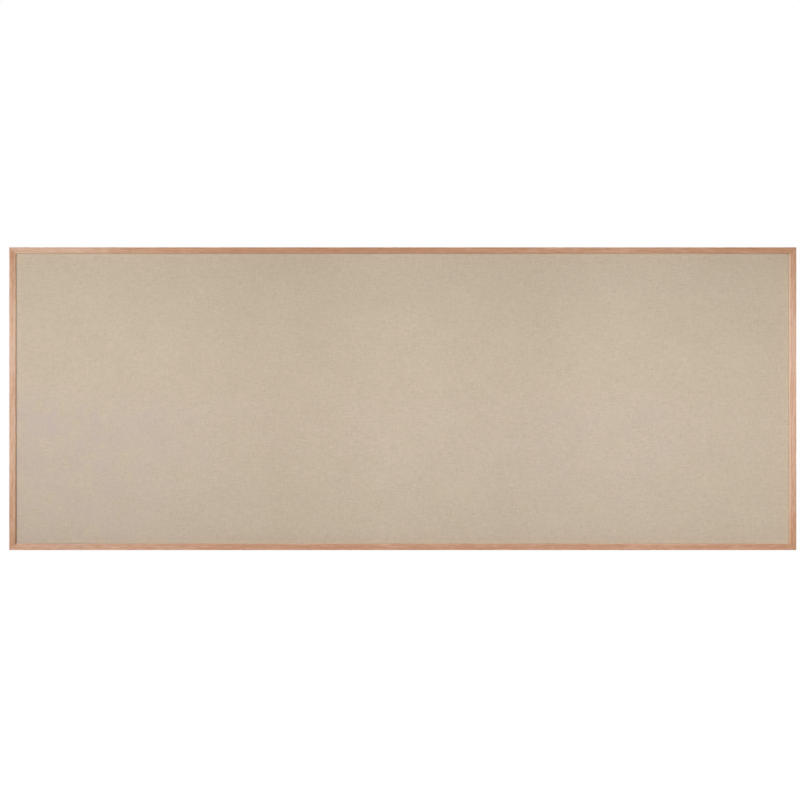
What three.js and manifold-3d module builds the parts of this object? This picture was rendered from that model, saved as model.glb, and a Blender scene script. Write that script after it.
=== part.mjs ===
// A wall-hung bulletin board: a mitred oak frame round a fabric-wrapped tack panel, with its corner
// plates, panel points, keyhole hangers and wall bumpers on the back.
// Millimetres. X runs to the right, Y runs from the front to the wall, Z is up.
// The origin is the middle of the board in the plane of the wall, where the bumpers touch it.
import * as THREE from 'three';
import { mergeVertices } from 'three/addons/utils/BufferGeometryUtils.js';
import Module from 'manifold-3d';

// The pinning surface that shows inside the frame: 8 ft by 3 ft
const sightWidth = 2438.4;
const sightHeight = 914.4;

// The oak moulding
const rearFaceWidth = 12.7; // wood behind the lip, from the outer edge to the rabbet
const rabbetWidth = 6.35; // how far the lip reaches over the panel
const lipDepth = 9.5; // from the front of the frame back to the fabric
const rearRecess = 6; // from the panel back to the rear of the frame
const frontEdgeRadius = 1.8;
const rearEdgeRadius = 0.8;
const mitreGap = 0.2; // glue line between two rails

// The tack panel, wrapped in fabric
const coreThickness = 11.1;
const backingThickness = 3.2;
const fabricThickness = 0.8;
const hemWidth = 26; // fabric turned over on the back
const panelClearance = 0.8; // from the panel's edge to the rabbet
const layGap = 0.1; // between faces that lie on each other
const fitGap = 0.3; // round a piece that sits in a cut

// Countersunk wood screws
const screwLength = 16;
const shankDiameter = 3;
const screwHeadDiameter = 6.2;
const screwTipLength = 3;
const recessSpan = 3.4; // tip to tip of the cross recess
const recessWidth = 0.9;
const recessDepth = 1.1;

// Flat corner plates
const plateThickness = 1.7;
const plateLeg = 50.8;
const plateInset = 1.6; // from the frame's outer edge
const plateCornerRadius = 2.4;
const plateHoleShares = [0.2, 0.85]; // of the leg beyond the corner square

// Keyhole hanger plates
const hangerWidth = 44;
const hangerThickness = 1.7;
const hangerInset = 1.6;
const hangerSpacing = 812.8; // two stud bays
const hangerScrewShare = 0.32; // of the width, either side of the middle
const hangerMargin = 4.5; // steel below the keyhole
const keySlotWidth = 5.2;
const keyEntryDiameter = 10;
const keyRun = 10; // from the entry up to where the board hangs
const keyDrop = 5.5; // from the rabbet down to where the board hangs

// Panel points: flat steel tabs driven into the rabbet
const pointThickness = 0.8;
const pointWidth = 10;
const pointDrive = 4; // in the wood
const pointLap = 9; // over the panel
const pointTipShare = 0.3; // of its width, cut off each side of the driven end

// Wall bumpers
const bumperDiameter = 11.1;
const bumperHeight = 3.4;
const bumperShoulder = 1.2; // taper towards the wall
const bumperBeyondPlate = 30; // from the corner plate's leg

// What cuts run past the faces that they open
const overrun = 1;

// Facets
const edgeSegments = 3;
const roundSegments = 16;
const screwSegments = 12;

// Sizes that follow from those above
const plateWidth = rearFaceWidth - 2 * plateInset;
const faceWidth = rearFaceWidth + rabbetWidth;
const outerWidth = sightWidth + 2 * faceWidth;
const outerHeight = sightHeight + 2 * faceWidth;
const panelThickness = 2 * fabricThickness + coreThickness + backingThickness + 3 * layGap;
const frameDepth = rearRecess + panelThickness + layGap + lipDepth;
const panelWidth = sightWidth + 2 * (rabbetWidth - panelClearance);
const panelHeight = sightHeight + 2 * (rabbetWidth - panelClearance);
const boardWidth = panelWidth - 2 * (fabricThickness + layGap);
const boardHeight = panelHeight - 2 * (fabricThickness + layGap);
const frameRearY = -bumperHeight - layGap;
const panelRearY = frameRearY - rearRecess;
const plateSeatY = frameRearY + layGap;

const sides = [
	{ name: 'top_rail', corner: 'top_right', length: outerWidth, reach: outerHeight / 2, points: 6 },
	{ name: 'right_stile', corner: 'bottom_right', length: outerHeight, reach: outerWidth / 2, points: 2 },
	{ name: 'bottom_rail', corner: 'bottom_left', length: outerWidth, reach: outerHeight / 2, points: 6 },
	{ name: 'left_stile', corner: 'top_left', length: outerHeight, reach: outerWidth / 2, points: 2 },
];
const hangers = [
	{ name: 'left', x: -hangerSpacing },
	{ name: 'middle', x: 0 },
	{ name: 'right', x: hangerSpacing },
];

const materials = {
	oak: new THREE.MeshStandardMaterial({ color: 0xc79a7c, roughness: 0.42, metalness: 0 }),
	fabric: new THREE.MeshStandardMaterial({ color: 0xc5b6a1, roughness: 0.95, metalness: 0 }),
	fibreboard: new THREE.MeshStandardMaterial({ color: 0xa08a6c, roughness: 0.95, metalness: 0 }),
	hardboard: new THREE.MeshStandardMaterial({ color: 0x6e4a30, roughness: 0.8, metalness: 0 }),
	zincSteel: new THREE.MeshStandardMaterial({ color: 0xb9bcbf, roughness: 0.35, metalness: 1 }),
	bumperRubber: new THREE.MeshStandardMaterial({ color: 0x4a4038, roughness: 0.7, metalness: 0 }),
};

const wasm = await Module();
wasm.setup();

// Solids

function solidOf(geometry) {
	const bare = geometry.clone();
	bare.deleteAttribute('normal');
	bare.deleteAttribute('uv');
	const merged = mergeVertices(bare);
	const vertProperties = merged.getAttribute('position').array;
	const triVerts = new Uint32Array(merged.getIndex().array);
	return new wasm.Manifold(new wasm.Mesh({ numProp: 3, vertProperties, triVerts }));
}

function geometryOf(solid) {
	const { vertProperties, triVerts } = solid.getMesh();
	const geometry = new THREE.BufferGeometry();
	geometry.setAttribute('position', new THREE.BufferAttribute(vertProperties, 3));
	geometry.setIndex(new THREE.BufferAttribute(triVerts, 1));
	geometry.computeVertexNormals();
	return geometry;
}

function cut(geometry, tools) {
	const solid = tools.reduce((left, tool) => left.subtract(solidOf(tool)), solidOf(geometry));
	return geometryOf(solid);
}

function piece(name, geometry, material, x = 0, y = 0, z = 0) {
	const mesh = new THREE.Mesh(geometry, material);
	mesh.name = name;
	mesh.position.set(x, y, z);
	return mesh;
}

// Shapes

// A closed outline through these points, each corner rounded by the same radius.
function roundedOutline(points, radius) {
	const outline = new THREE.Shape();
	points.forEach((point, i) => {
		const before = points[(i + points.length - 1) % points.length];
		const after = points[(i + 1) % points.length];
		const start = point.clone().add(before.clone().sub(point).setLength(radius));
		const end = point.clone().add(after.clone().sub(point).setLength(radius));
		if (i === 0) outline.moveTo(start.x, start.y);
		else outline.lineTo(start.x, start.y);
		outline.quadraticCurveTo(point.x, point.y, end.x, end.y);
	});
	outline.closePath();
	return outline;
}

// A flat plate whose outline lies in X and Z, with its rear face at Y 0.
function flatPlate(outline, thickness, curveSegments = edgeSegments) {
	const options = { depth: thickness, bevelEnabled: false, curveSegments };
	return new THREE.ExtrudeGeometry(outline, options).rotateX(Math.PI / 2);
}

// A turned piece on the Y axis. The profile is a list of radius and Y, from its front end to its rear end.
function turned(profile, segments) {
	return new THREE.LatheGeometry(profile.map(([radius, y]) => new THREE.Vector2(radius, y)), segments);
}

// The moulding's section: u runs inwards from the outer edge, v runs forwards from the rear face.
function mouldingSection() {
	const lipBack = frameDepth - lipDepth;
	const front = frontEdgeRadius;
	const rear = rearEdgeRadius;
	const section = new THREE.Shape();
	section.moveTo(0, rear);
	section.absarc(rear, rear, rear, Math.PI, 1.5 * Math.PI, false);
	section.lineTo(rearFaceWidth, 0);
	section.lineTo(rearFaceWidth, lipBack);
	section.lineTo(faceWidth, lipBack);
	section.absarc(faceWidth - front, frameDepth - front, front, 0, Math.PI / 2, false);
	section.absarc(front, frameDepth - front, front, Math.PI / 2, Math.PI, false);
	section.closePath();
	return section;
}

// One mitred length of moulding, lying along X with its outer edge at Z 0 and its rear face at Y 0.
function mitredLength(outerLength) {
	const geometry = new THREE.ExtrudeGeometry(mouldingSection(), {
		depth: 1,
		bevelEnabled: false,
		curveSegments: edgeSegments,
	});
	const mitreSetback = (mitreGap / 2) * Math.SQRT2;
	const position = geometry.getAttribute('position');
	for (let i = 0; i < position.count; i++) {
		const u = position.getX(i);
		const v = position.getY(i);
		const end = 1 - 2 * position.getZ(i); // 1 at one end, -1 at the other
		position.setXYZ(i, end * (outerLength / 2 - u - mitreSetback), -v, -u);
	}
	return geometry;
}

// Where the screws of a corner plate stand along a leg, measured from the frame's outer corner.
function cornerScrewPlaces() {
	return plateHoleShares.map((share) => plateInset + plateWidth + share * (plateLeg - plateWidth));
}

// Where the panel points stand along a side, spread evenly over its stretch of the opening.
function pointPlaces(side) {
	const pitch = (side.length - 2 * faceWidth) / side.points;
	return Array.from({ length: side.points }, (_, i) => (i + 0.5 - side.points / 2) * pitch);
}

// Screws

function screwGeometry() {
	const shank = shankDiameter / 2;
	const head = screwHeadDiameter / 2;
	const body = turned([
		[0, -screwLength],
		[shank, screwTipLength - screwLength],
		[shank, shank - head],
		[head, 0],
		[0, 0],
	], screwSegments);
	const bars = [[recessSpan, recessWidth], [recessWidth, recessSpan]].map(([width, height]) =>
		new THREE.BoxGeometry(width, 2 * recessDepth, height));
	return cut(body, bars);
}

// What a screw needs taken out of the steel plate that it holds.
function countersinkTool(thickness) {
	const shank = shankDiameter / 2 + fitGap;
	const head = screwHeadDiameter / 2 + fitGap;
	return turned([
		[0, -thickness - overrun],
		[shank, -thickness - overrun],
		[shank, shank - head],
		[head, 0],
		[head, overrun],
		[0, overrun],
	], screwSegments);
}

// What a screw needs taken out of the wood below a plate.
function pilotTool(thickness) {
	const radius = shankDiameter / 2 + fitGap;
	const floor = thickness - screwLength - fitGap;
	return turned([[0, floor], [radius, floor], [radius, overrun], [0, overrun]], screwSegments);
}

// Frame

function railGeometry(side) {
	const rearToPlate = plateSeatY - frameRearY;
	const tools = [];
	for (const place of cornerScrewPlaces()) {
		for (const end of [-1, 1]) {
			const x = end * (side.length / 2 - place);
			tools.push(pilotTool(plateThickness + rearToPlate).translate(x, 0, -rearFaceWidth / 2));
		}
	}
	if (side.name === 'top_rail') {
		for (const hanger of hangers) {
			for (const end of [-1, 1]) {
				const x = hanger.x + end * hangerScrewShare * hangerWidth;
				tools.push(pilotTool(hangerThickness + rearToPlate).translate(x, 0, -rearFaceWidth / 2));
			}
		}
	}
	for (const x of pointPlaces(side)) {
		tools.push(pointSlotTool().translate(x, layGap - rearRecess, -rearFaceWidth));
	}
	return cut(mitredLength(side.length), tools);
}

// Panel points: the rabbet's wall is at Z 0 and the face that lies on the panel at Y 0.

function pointGeometry() {
	const half = pointWidth / 2;
	const tip = pointTipShare * pointWidth;
	const outline = new THREE.Shape([
		new THREE.Vector2(-half, -pointLap),
		new THREE.Vector2(half, -pointLap),
		new THREE.Vector2(half, pointDrive - tip),
		new THREE.Vector2(half - tip, pointDrive),
		new THREE.Vector2(tip - half, pointDrive),
		new THREE.Vector2(-half, pointDrive - tip),
	]);
	return flatPlate(outline, pointThickness).translate(0, pointThickness, 0);
}

function pointSlotTool() {
	const width = pointWidth + 2 * fitGap;
	const thickness = pointThickness + 2 * fitGap;
	const depth = pointDrive + fitGap + overrun;
	const tool = new THREE.BoxGeometry(width, thickness, depth);
	return tool.translate(0, pointThickness / 2, depth / 2 - overrun);
}

// Corner plates: the frame's outer corner is at the origin and the legs run to -X and -Z.

function cornerPlateGeometry() {
	const near = -plateInset;
	const far = -plateInset - plateLeg;
	const inner = -plateInset - plateWidth;
	const corners = [[near, near], [far, near], [far, inner], [inner, inner], [inner, far], [near, far]];
	const outline = roundedOutline(corners.map(([x, z]) => new THREE.Vector2(x, z)), plateCornerRadius);
	const tools = cornerScrewSpots().map(([x, z]) => countersinkTool(plateThickness).translate(x, 0, z));
	return cut(flatPlate(outline, plateThickness), tools);
}

function cornerScrewSpots() {
	const across = -rearFaceWidth / 2;
	return cornerScrewPlaces().flatMap((place) => [[-place, across], [across, -place]]);
}

// Keyhole hanger plates: the outer edge of the top rail is at Z 0 and the plate's middle at X 0.

function keyhole() {
	const slot = keySlotWidth / 2;
	const entry = keyEntryDiameter / 2;
	const hangs = -rearFaceWidth - keyDrop;
	const meet = Math.asin(slot / entry);
	const path = new THREE.Path();
	path.moveTo(-slot, hangs);
	path.absarc(0, hangs, slot, Math.PI, 0, true);
	path.lineTo(slot, hangs - keyRun + entry * Math.cos(meet));
	path.absarc(0, hangs - keyRun, entry, Math.PI / 2 - meet, Math.PI / 2 + meet, true);
	path.closePath();
	return path;
}

function hangerGeometry() {
	const half = hangerWidth / 2;
	const bottom = -rearFaceWidth - keyDrop - keyRun - keyEntryDiameter / 2 - hangerMargin;
	const corners = [[-half, bottom], [half, bottom], [half, -hangerInset], [-half, -hangerInset]];
	const outline = roundedOutline(corners.map(([x, z]) => new THREE.Vector2(x, z)), plateCornerRadius);
	outline.holes.push(keyhole());
	const tools = [-1, 1].map((end) =>
		countersinkTool(hangerThickness).translate(end * hangerScrewShare * hangerWidth, 0, -rearFaceWidth / 2));
	return cut(flatPlate(outline, hangerThickness, 2 * edgeSegments), tools);
}

// Panel

// The fabric lies over the front of the boards, round their edges and a hem's width over their back.
function fabricGeometry() {
	const wrap = new THREE.BoxGeometry(panelWidth, panelThickness, panelHeight);
	const boards = new THREE.BoxGeometry(
		panelWidth - 2 * fabricThickness,
		panelThickness - 2 * fabricThickness,
		panelHeight - 2 * fabricThickness,
	);
	const window = new THREE.BoxGeometry(panelWidth - 2 * hemWidth, panelThickness, panelHeight - 2 * hemWidth);
	window.translate(0, panelThickness / 2, 0);
	return cut(wrap, [boards, window]);
}

function panel() {
	const group = new THREE.Group();
	const backingY = panelRearY - fabricThickness - layGap - backingThickness / 2;
	const coreY = backingY - backingThickness / 2 - layGap - coreThickness / 2;
	const backing = new THREE.BoxGeometry(boardWidth, backingThickness, boardHeight);
	const core = new THREE.BoxGeometry(boardWidth, coreThickness, boardHeight);
	group.add(piece('fabric_facing', fabricGeometry(), materials.fabric, 0, panelRearY - panelThickness / 2, 0));
	group.add(piece('tack_board', core, materials.fibreboard, 0, coreY, 0));
	group.add(piece('backing_board', backing, materials.hardboard, 0, backingY, 0));
	return group;
}

// Wall bumpers: stuck on the rear face, with the end that touches the wall at the greatest Y.

function bumperGeometry() {
	const radius = bumperDiameter / 2;
	return turned([
		[0, 0],
		[radius, 0],
		[radius, bumperHeight - bumperShoulder],
		[radius - bumperShoulder, bumperHeight],
		[0, bumperHeight],
	], roundSegments);
}

// Assembly

// One side of the frame with its points and the corner plate at its X end, built as the top rail lies.
function frameSide(side, screw) {
	const group = new THREE.Group();
	const where = side.name.split('_')[0];
	group.add(piece(side.name, railGeometry(side), materials.oak, 0, frameRearY, side.reach));

	pointPlaces(side).forEach((x, i) => {
		const y = panelRearY + layGap;
		const name = `panel_point_${where}_${i + 1}`;
		group.add(piece(name, pointGeometry(), materials.zincSteel, x, y, side.reach - rearFaceWidth));
	});

	const plateRearY = plateSeatY + plateThickness;
	const cornerX = side.length / 2;
	const plateName = `corner_plate_${side.corner}`;
	group.add(piece(plateName, cornerPlateGeometry(), materials.zincSteel, cornerX, plateRearY, side.reach));
	cornerScrewSpots().forEach(([x, z], i) => {
		const name = `corner_screw_${side.corner}_${i + 1}`;
		group.add(piece(name, screw, materials.zincSteel, cornerX + x, plateRearY, side.reach + z));
	});
	return group;
}

function hangerSet(hanger, screw) {
	const group = new THREE.Group();
	group.position.set(hanger.x, plateSeatY + hangerThickness, outerHeight / 2);
	group.add(piece(`hanger_plate_${hanger.name}`, hangerGeometry(), materials.zincSteel));
	[-1, 1].forEach((end, i) => {
		const x = end * hangerScrewShare * hangerWidth;
		const name = `hanger_screw_${hanger.name}_${i + 1}`;
		group.add(piece(name, screw, materials.zincSteel, x, 0, -rearFaceWidth / 2));
	});
	return group;
}

function bumpers() {
	const group = new THREE.Group();
	const inset = plateInset + plateLeg + bumperBeyondPlate + bumperDiameter / 2;
	for (const [up, level] of [['top', 1], ['bottom', -1]]) {
		for (const [across, way] of [['left', -1], ['right', 1]]) {
			const x = way * (outerWidth / 2 - inset);
			const z = level * (outerHeight / 2 - rearFaceWidth / 2);
			const name = `wall_bumper_${up}_${across}`;
			group.add(piece(name, bumperGeometry(), materials.bumperRubber, x, -bumperHeight, z));
		}
	}
	return group;
}

const board = new THREE.Group();
const screw = screwGeometry();
sides.forEach((side, i) => {
	const group = frameSide(side, screw);
	group.rotation.y = i * Math.PI / 2;
	board.add(group);
});
board.add(panel());
for (const hanger of hangers) board.add(hangerSet(hanger, screw));
board.add(bumpers());

export default board;
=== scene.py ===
"""A wall-hung bulletin board: an oak frame round a fabric-wrapped tack panel, dressed round its CAD frame.

Metres. +X runs to the viewer's right, +Y from the front into the wall, +Z up. The origin is the middle of the
board in the wall's plane.
"""

import math
import random

import bmesh
import bpy
from mathutils import Color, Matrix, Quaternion, Vector

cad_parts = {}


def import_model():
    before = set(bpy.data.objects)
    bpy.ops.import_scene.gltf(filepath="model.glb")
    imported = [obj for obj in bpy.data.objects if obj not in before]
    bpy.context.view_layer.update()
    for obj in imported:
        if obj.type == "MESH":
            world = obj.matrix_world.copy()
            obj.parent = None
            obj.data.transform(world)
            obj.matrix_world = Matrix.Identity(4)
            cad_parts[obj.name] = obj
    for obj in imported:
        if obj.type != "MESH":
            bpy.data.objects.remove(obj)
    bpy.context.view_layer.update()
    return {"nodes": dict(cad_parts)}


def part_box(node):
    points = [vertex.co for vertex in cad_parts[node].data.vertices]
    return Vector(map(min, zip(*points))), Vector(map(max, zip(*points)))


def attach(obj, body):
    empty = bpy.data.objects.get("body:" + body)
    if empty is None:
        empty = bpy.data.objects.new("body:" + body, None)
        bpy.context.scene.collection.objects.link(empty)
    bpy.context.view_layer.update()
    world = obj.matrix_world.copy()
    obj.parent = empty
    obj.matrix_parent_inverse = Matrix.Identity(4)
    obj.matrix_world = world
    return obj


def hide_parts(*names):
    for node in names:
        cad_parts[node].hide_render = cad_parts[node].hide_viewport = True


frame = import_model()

MM = 0.001

# The photograph's frame, in pixels, and where the board's outer edges lie in it
PHOTO_SIDE_PX = 800
PHOTO_LEFT_PX = 9.25
PHOTO_RIGHT_PX = 796.3
PHOTO_TOP_PX = 247.2
PHOTO_BOTTOM_PX = 550.2

# Sizes read from the CAD frame
TOP_LOW, TOP_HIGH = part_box("top_rail")
PANEL_LOW, PANEL_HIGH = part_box("fabric_facing")
HALF_WIDTH = TOP_HIGH[0]
HALF_HEIGHT = TOP_HIGH[2]
FRONT_Y = TOP_LOW[1]
REAR_Y = TOP_HIGH[1]
FACE_WIDTH = TOP_HIGH[2] - TOP_LOW[2]
FRAME_DEPTH = REAR_Y - FRONT_Y
SIGHT_HALF_WIDTH = HALF_WIDTH - FACE_WIDTH
SIGHT_HALF_HEIGHT = HALF_HEIGHT - FACE_WIDTH
HALF_PANEL_WIDTH = PANEL_HIGH[0]
HALF_PANEL_HEIGHT = PANEL_HIGH[2]
CORNERS = ("top_right", "bottom_right", "bottom_left", "top_left")
CORNER_SCREWS = (1, 2, 3, 4)
HANGERS = ("left", "middle", "right")
HANGER_SCREWS = (1, 2)


# Mesh helpers


def finish_piece(name, mesh, material, nodes=(), sharp_degrees=35.0):
    """A smooth-shaded piece of the board, which stands for the CAD nodes that are named."""
    mesh.validate()
    mesh.polygons.foreach_set("use_smooth", [True] * len(mesh.polygons))
    mesh.set_sharp_from_angle(angle=math.radians(sharp_degrees))
    if not mesh.materials:
        mesh.materials.append(material)
    piece = bpy.data.objects.new(name, mesh)
    bpy.context.scene.collection.objects.link(piece)
    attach(piece, "root")
    if nodes:
        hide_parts(*nodes)
    return piece


def node_middle(node):
    """The middle of a CAD node's box in X and Z."""
    low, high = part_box(node)
    return (low[0] + high[0]) / 2, (low[2] + high[2]) / 2


def mesh_of(name, vertices, faces):
    mesh = bpy.data.meshes.new(name)
    mesh.from_pydata([tuple(v) for v in vertices], [], faces)
    return mesh


def settle(work, mesh):
    """The bmesh's faces turned outwards and written to the mesh."""
    bmesh.ops.recalc_face_normals(work, faces=work.faces)
    work.to_mesh(mesh)
    work.free()
    return mesh


def turn_outwards(mesh, merge_distance=0.0):
    """A mesh with its faces turned outwards, after vertices that lie within the distance are merged."""
    work = bmesh.new()
    work.from_mesh(mesh)
    if merge_distance:
        bmesh.ops.remove_doubles(work, verts=work.verts, dist=merge_distance)
    return settle(work, mesh)


def bridge(faces, first, second, closed=True):
    """Quads between two rings of vertices of the same length."""
    count = len(first)
    for i in range(count if closed else count - 1):
        j = (i + 1) % count
        faces.append((first[i], first[j], second[j], second[i]))


def lofted(name, *solids):
    """A mesh of solids. Each is rings of points, joined one to the next and closed at both ends."""
    vertices, faces = [], []
    for rings in solids:
        numbers = []
        for ring in rings:
            numbers.append(range(len(vertices), len(vertices) + len(ring)))
            vertices += ring
        for first, second in zip(numbers, numbers[1:]):
            bridge(faces, first, second)
        faces.append(tuple(reversed(numbers[0])))
        faces.append(tuple(numbers[-1]))
    return turn_outwards(mesh_of(name, vertices, faces))


def ring_in(work, points, y):
    """A bmesh ring at the level y, through points in X and Z."""
    return [work.verts.new((point.x, y, point.y)) for point in points]


def wall_in(work, rings):
    """Quads from each bmesh ring to the next."""
    quads = []
    for first, second in zip(rings, rings[1:]):
        bridge(quads, first, second)
    for quad in quads:
        work.faces.new(quad)


def fill_in(work, rings):
    """A flat face inside the first bmesh ring, with the other rings as holes in it."""
    edges = [work.edges.get((ring[i - 1], ring[i])) for ring in rings for i in range(len(ring))]
    bmesh.ops.triangle_fill(work, edges=edges, use_beauty=True, normal=(0, 1, 0))


def arc(centre_u, centre_v, radius, start_degrees, end_degrees, steps):
    """Points on an arc, both ends included."""
    points = []
    for i in range(steps + 1):
        angle = math.radians(start_degrees + (end_degrees - start_degrees) * i / steps)
        points.append(Vector((centre_u + radius * math.cos(angle), centre_v + radius * math.sin(angle))))
    return points


def circle(centre_u, centre_v, radius, steps):
    return arc(centre_u, centre_v, radius, 0, 360, steps)[:-1]


def rounded(corners, radius, steps):
    """A closed outline through square corners, each rounded by the radius."""
    points = []
    for i, corner in enumerate(corners):
        here = Vector(corner)
        before = (Vector(corners[i - 1]) - here).normalized()
        after = (Vector(corners[(i + 1) % len(corners)]) - here).normalized()
        centre = here + (before + after) * radius
        for k in range(steps + 1):
            turn = math.pi / 2 * k / steps
            points.append(centre - after * radius * math.cos(turn) - before * radius * math.sin(turn))
    return points


def inset_ring(points, distance):
    """A closed outline with each of its points moved inwards by the distance."""
    count = len(points)
    area = sum(a.x * b.y - b.x * a.y for a, b in zip(points, points[1:] + points[:1]))
    inwards = distance if area > 0 else -distance
    moved = []
    for i in range(count):
        before = (points[i] - points[i - 1]).normalized()
        after = (points[(i + 1) % count] - points[i]).normalized()
        along = (before + after).normalized()
        moved.append(points[i] + Vector((-along.y, along.x)) * inwards)
    return moved


def eased_wall(outline, near_y, far_y, ease):
    """The rings of a flat piece's edge from its far face to its near one. A hole's has a negative ease."""
    moved = inset_ring(outline, ease)
    depth = abs(ease)
    return [(moved, far_y), (outline, far_y - depth), (outline, near_y + depth), (moved, near_y)]


def smoothstep(value):
    value = min(1.0, max(0.0, value))
    return value * value * (3 - 2 * value)


def swaying(along, across, rate, cross_rate, sway):
    """A wave along one way that sways with the other. The rates are in radians per metre."""
    return math.sin(rate * along + sway * math.sin(cross_rate * across))


# Material helpers

WHITE = (1, 1, 1, 1)
BLACK = (0, 0, 0, 1)
# How far its start moves a noise along each coordinate
NOISE_WAY = (1.0, 1.7, 0.6)


def new_material(name):
    material = bpy.data.materials.new(name)
    material.use_nodes = True
    material.node_tree.nodes.clear()
    return material, material.node_tree


def add(kind, inputs, tree=None, **settings):
    """A shader node in the tree, or in its linked inputs' own. inputs are values or the sockets to link."""
    links = {key: value for key, value in inputs.items() if isinstance(value, bpy.types.NodeSocket)}
    tree = tree or next(iter(links.values())).id_data
    node = tree.nodes.new("ShaderNode" + kind)
    for key, value in settings.items():
        setattr(node, key, value)
    for key, value in inputs.items():
        if key in links:
            tree.links.new(value, node.inputs[key])
        else:
            node.inputs[key].default_value = value
    return node


def maths(operation, *values):
    return add("Math", dict(enumerate(values)), operation=operation).outputs[0]


def total(*values):
    """The sum of two or more values."""
    result = values[0]
    for value in values[1:]:
        result = maths("ADD", result, value)
    return result


def times(*values):
    """The product of two or more values."""
    result = values[0]
    for value in values[1:]:
        result = maths("MULTIPLY", result, value)
    return result


def remap(value, low, high, new_low=0.0, new_high=1.0, smooth=False):
    """value from low..high to new_low..new_high, held at the ends."""
    inputs = {"Value": value, "From Min": low, "From Max": high, "To Min": new_low, "To Max": new_high}
    kind = "SMOOTHSTEP" if smooth else "LINEAR"
    return add("MapRange", inputs, interpolation_type=kind, clamp=True).outputs[0]


def mix(factor, first, second):
    """Two colours mixed."""
    return add("Mix", {0: factor, 6: first, 7: second}, data_type="RGBA").outputs[2]


def blend(factor, first, second):
    """Two numbers mixed."""
    return add("Mix", {0: factor, 2: first, 3: second}, data_type="FLOAT").outputs[0]


def srgb(red, green, blue):
    """A colour that is given in the usual 0 to 255, as Blender's linear values."""
    colour = Color((red / 255, green / 255, blue / 255))
    return (*colour.from_srgb_to_scene_linear(), 1.0)


def place(tree):
    """The row frame's coordinates, on a piece whose object sits at the origin."""
    return add("TexCoord", {}, tree).outputs["Object"]


def axes(coordinates):
    node = add("SeparateXYZ", {0: coordinates})
    return node.outputs[0], node.outputs[1], node.outputs[2]


def joined(x, y, z):
    return add("CombineXYZ", {0: x, 1: y, 2: z}).outputs[0]


def noise(coordinates, marks, shift=0.0):
    """Noise from 0 to 1. marks are (feature sizes in mm along the coordinates, detail, roughness, start)."""
    sizes, detail, roughness, start = marks
    scale = tuple(1 / (size * MM) for size in sizes)
    offset = tuple((start + shift) * way for way in NOISE_WAY)
    scaled = add("VectorMath", {0: coordinates, 1: scale, 2: offset}, operation="MULTIPLY_ADD").outputs[0]
    inputs = {"Vector": scaled, "Scale": 1.0, "Detail": detail, "Roughness": roughness}
    return add("TexNoise", inputs).outputs["Fac"]


def marked(coordinates, marks, change, shift=0.0):
    """What marks give. change is the noise's low and high value, and what each gives, if not 0 and 1."""
    return remap(noise(coordinates, marks, shift), *change)


def tone_along(share, tones):
    """The tone at a share of a length, eased between tones of (share, tone)."""
    ramp = add("ValToRGB", {"Fac": share})
    ramp.color_ramp.interpolation = "EASE"
    stops = ramp.color_ramp.elements
    for at, _ in tones[len(stops):]:
        stops.new(at)
    for stop, (at, tone) in zip(stops, tones):
        stop.position = at
        stop.color = (tone, tone, tone, 1.0)
    return ramp.outputs[0]


def attribute(tree, name):
    return add("Attribute", {}, tree, attribute_name=name, attribute_type="GEOMETRY").outputs["Fac"]


def bump(height, distance, strength):
    inputs = {"Height": height, "Distance": distance, "Strength": strength}
    return add("Bump", inputs).outputs[0]


def surface(inputs):
    shader = add("BsdfPrincipled", inputs)
    add("OutputMaterial", {"Surface": shader.outputs[0]})


# Oak

OAK_DARK = srgb(173, 119, 81)
OAK_MIDDLE = srgb(192, 143, 110)
OAK_LIGHT = srgb(216, 181, 157)
# A pale colour for the painted light on the lip's inner wall
OAK_LIP_PAINTED_LIGHT = srgb(248, 221, 198)
OAK_PORE = srgb(128, 86, 58)
MIDDLE_TONE = 0.5
SHIFT_PER_RAIL = 13.0
# Marks in the wood, by their sizes along the grain, across it and through the depth
OAK_DRIFT = ((420, 90, 90), 2.0, 0.5, 0)
OAK_STREAKS = ((110, 1.1, 1.1), 3.0, 0.6, 3)
OAK_FIBRE = ((20, 0.4, 0.4), 2.0, 0.5, 8)
# What they give: the noise's low and high value, and the tone or the like at each
STREAKS_TONE = (0.25, 0.75, -0.22, 0.22)
STREAKS_ROUGHNESS = (0.2, 0.8, 0.42, 0.56)
FIBRE_TONE = (0.3, 0.7, -0.05, 0.05)
# Marks, and what they give
OAK_BROAD = ((160, 11, 11), 3.0, 0.55, 5), (0.3, 0.7, -0.14, 0.18)
OAK_STRANDS = ((28, 4, 4), 3.0, 0.6, 17), (0.3, 0.7, -0.17, 0.17)
OAK_PORES = ((6, 0.32, 0.32), 1.0, 0.5, 11), (0.57, 0.66)
OAK_WORN = ((30, 4, 4), 2.0, 0.5, 0), (0.45, 0.7)
# Growth rings
RING_WIDTH = 4.2 * MM
RING_SLANT = 0.4
RING_DRIFT = 30 * MM
EARLY_WOOD_SHARE = 0.55
EARLY_WOOD_TONE = -0.16
LATE_WOOD_PORES_SHARE = 0.25
PORE_COLOUR_SHARE = 0.6
WORN_COLOUR_SHARE = 0.3
# How much shade is painted on the frame's outer side
OUTER_SIDE_PAINTED_SHADE = 0.35
FIBRE_RELIEF_SHARE = 0.25
OAK_RELIEF = (0.08 * MM, 0.6)
OAK_FINISH = {"Coat Weight": 0.12, "Coat Roughness": 0.35, "Specular IOR Level": 0.3}


def reddened(colour, share):
    """A linear colour with its red raised by a share of itself."""
    return (colour[0] * (1 + share), colour[1], colour[2], colour[3])


def early_wood_at(grain, across, depth, shift):
    """1 where a growth ring begins, falling to 0 in its late wood."""
    drift = times(noise(grain, OAK_DRIFT, shift), RING_DRIFT)
    rings_at = total(across, times(depth, RING_SLANT), drift)
    ring = maths("FRACT", maths("DIVIDE", rings_at, RING_WIDTH))
    return remap(ring, 0.0, EARLY_WOOD_SHARE, 1.0, 0.0, smooth=True)


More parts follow.
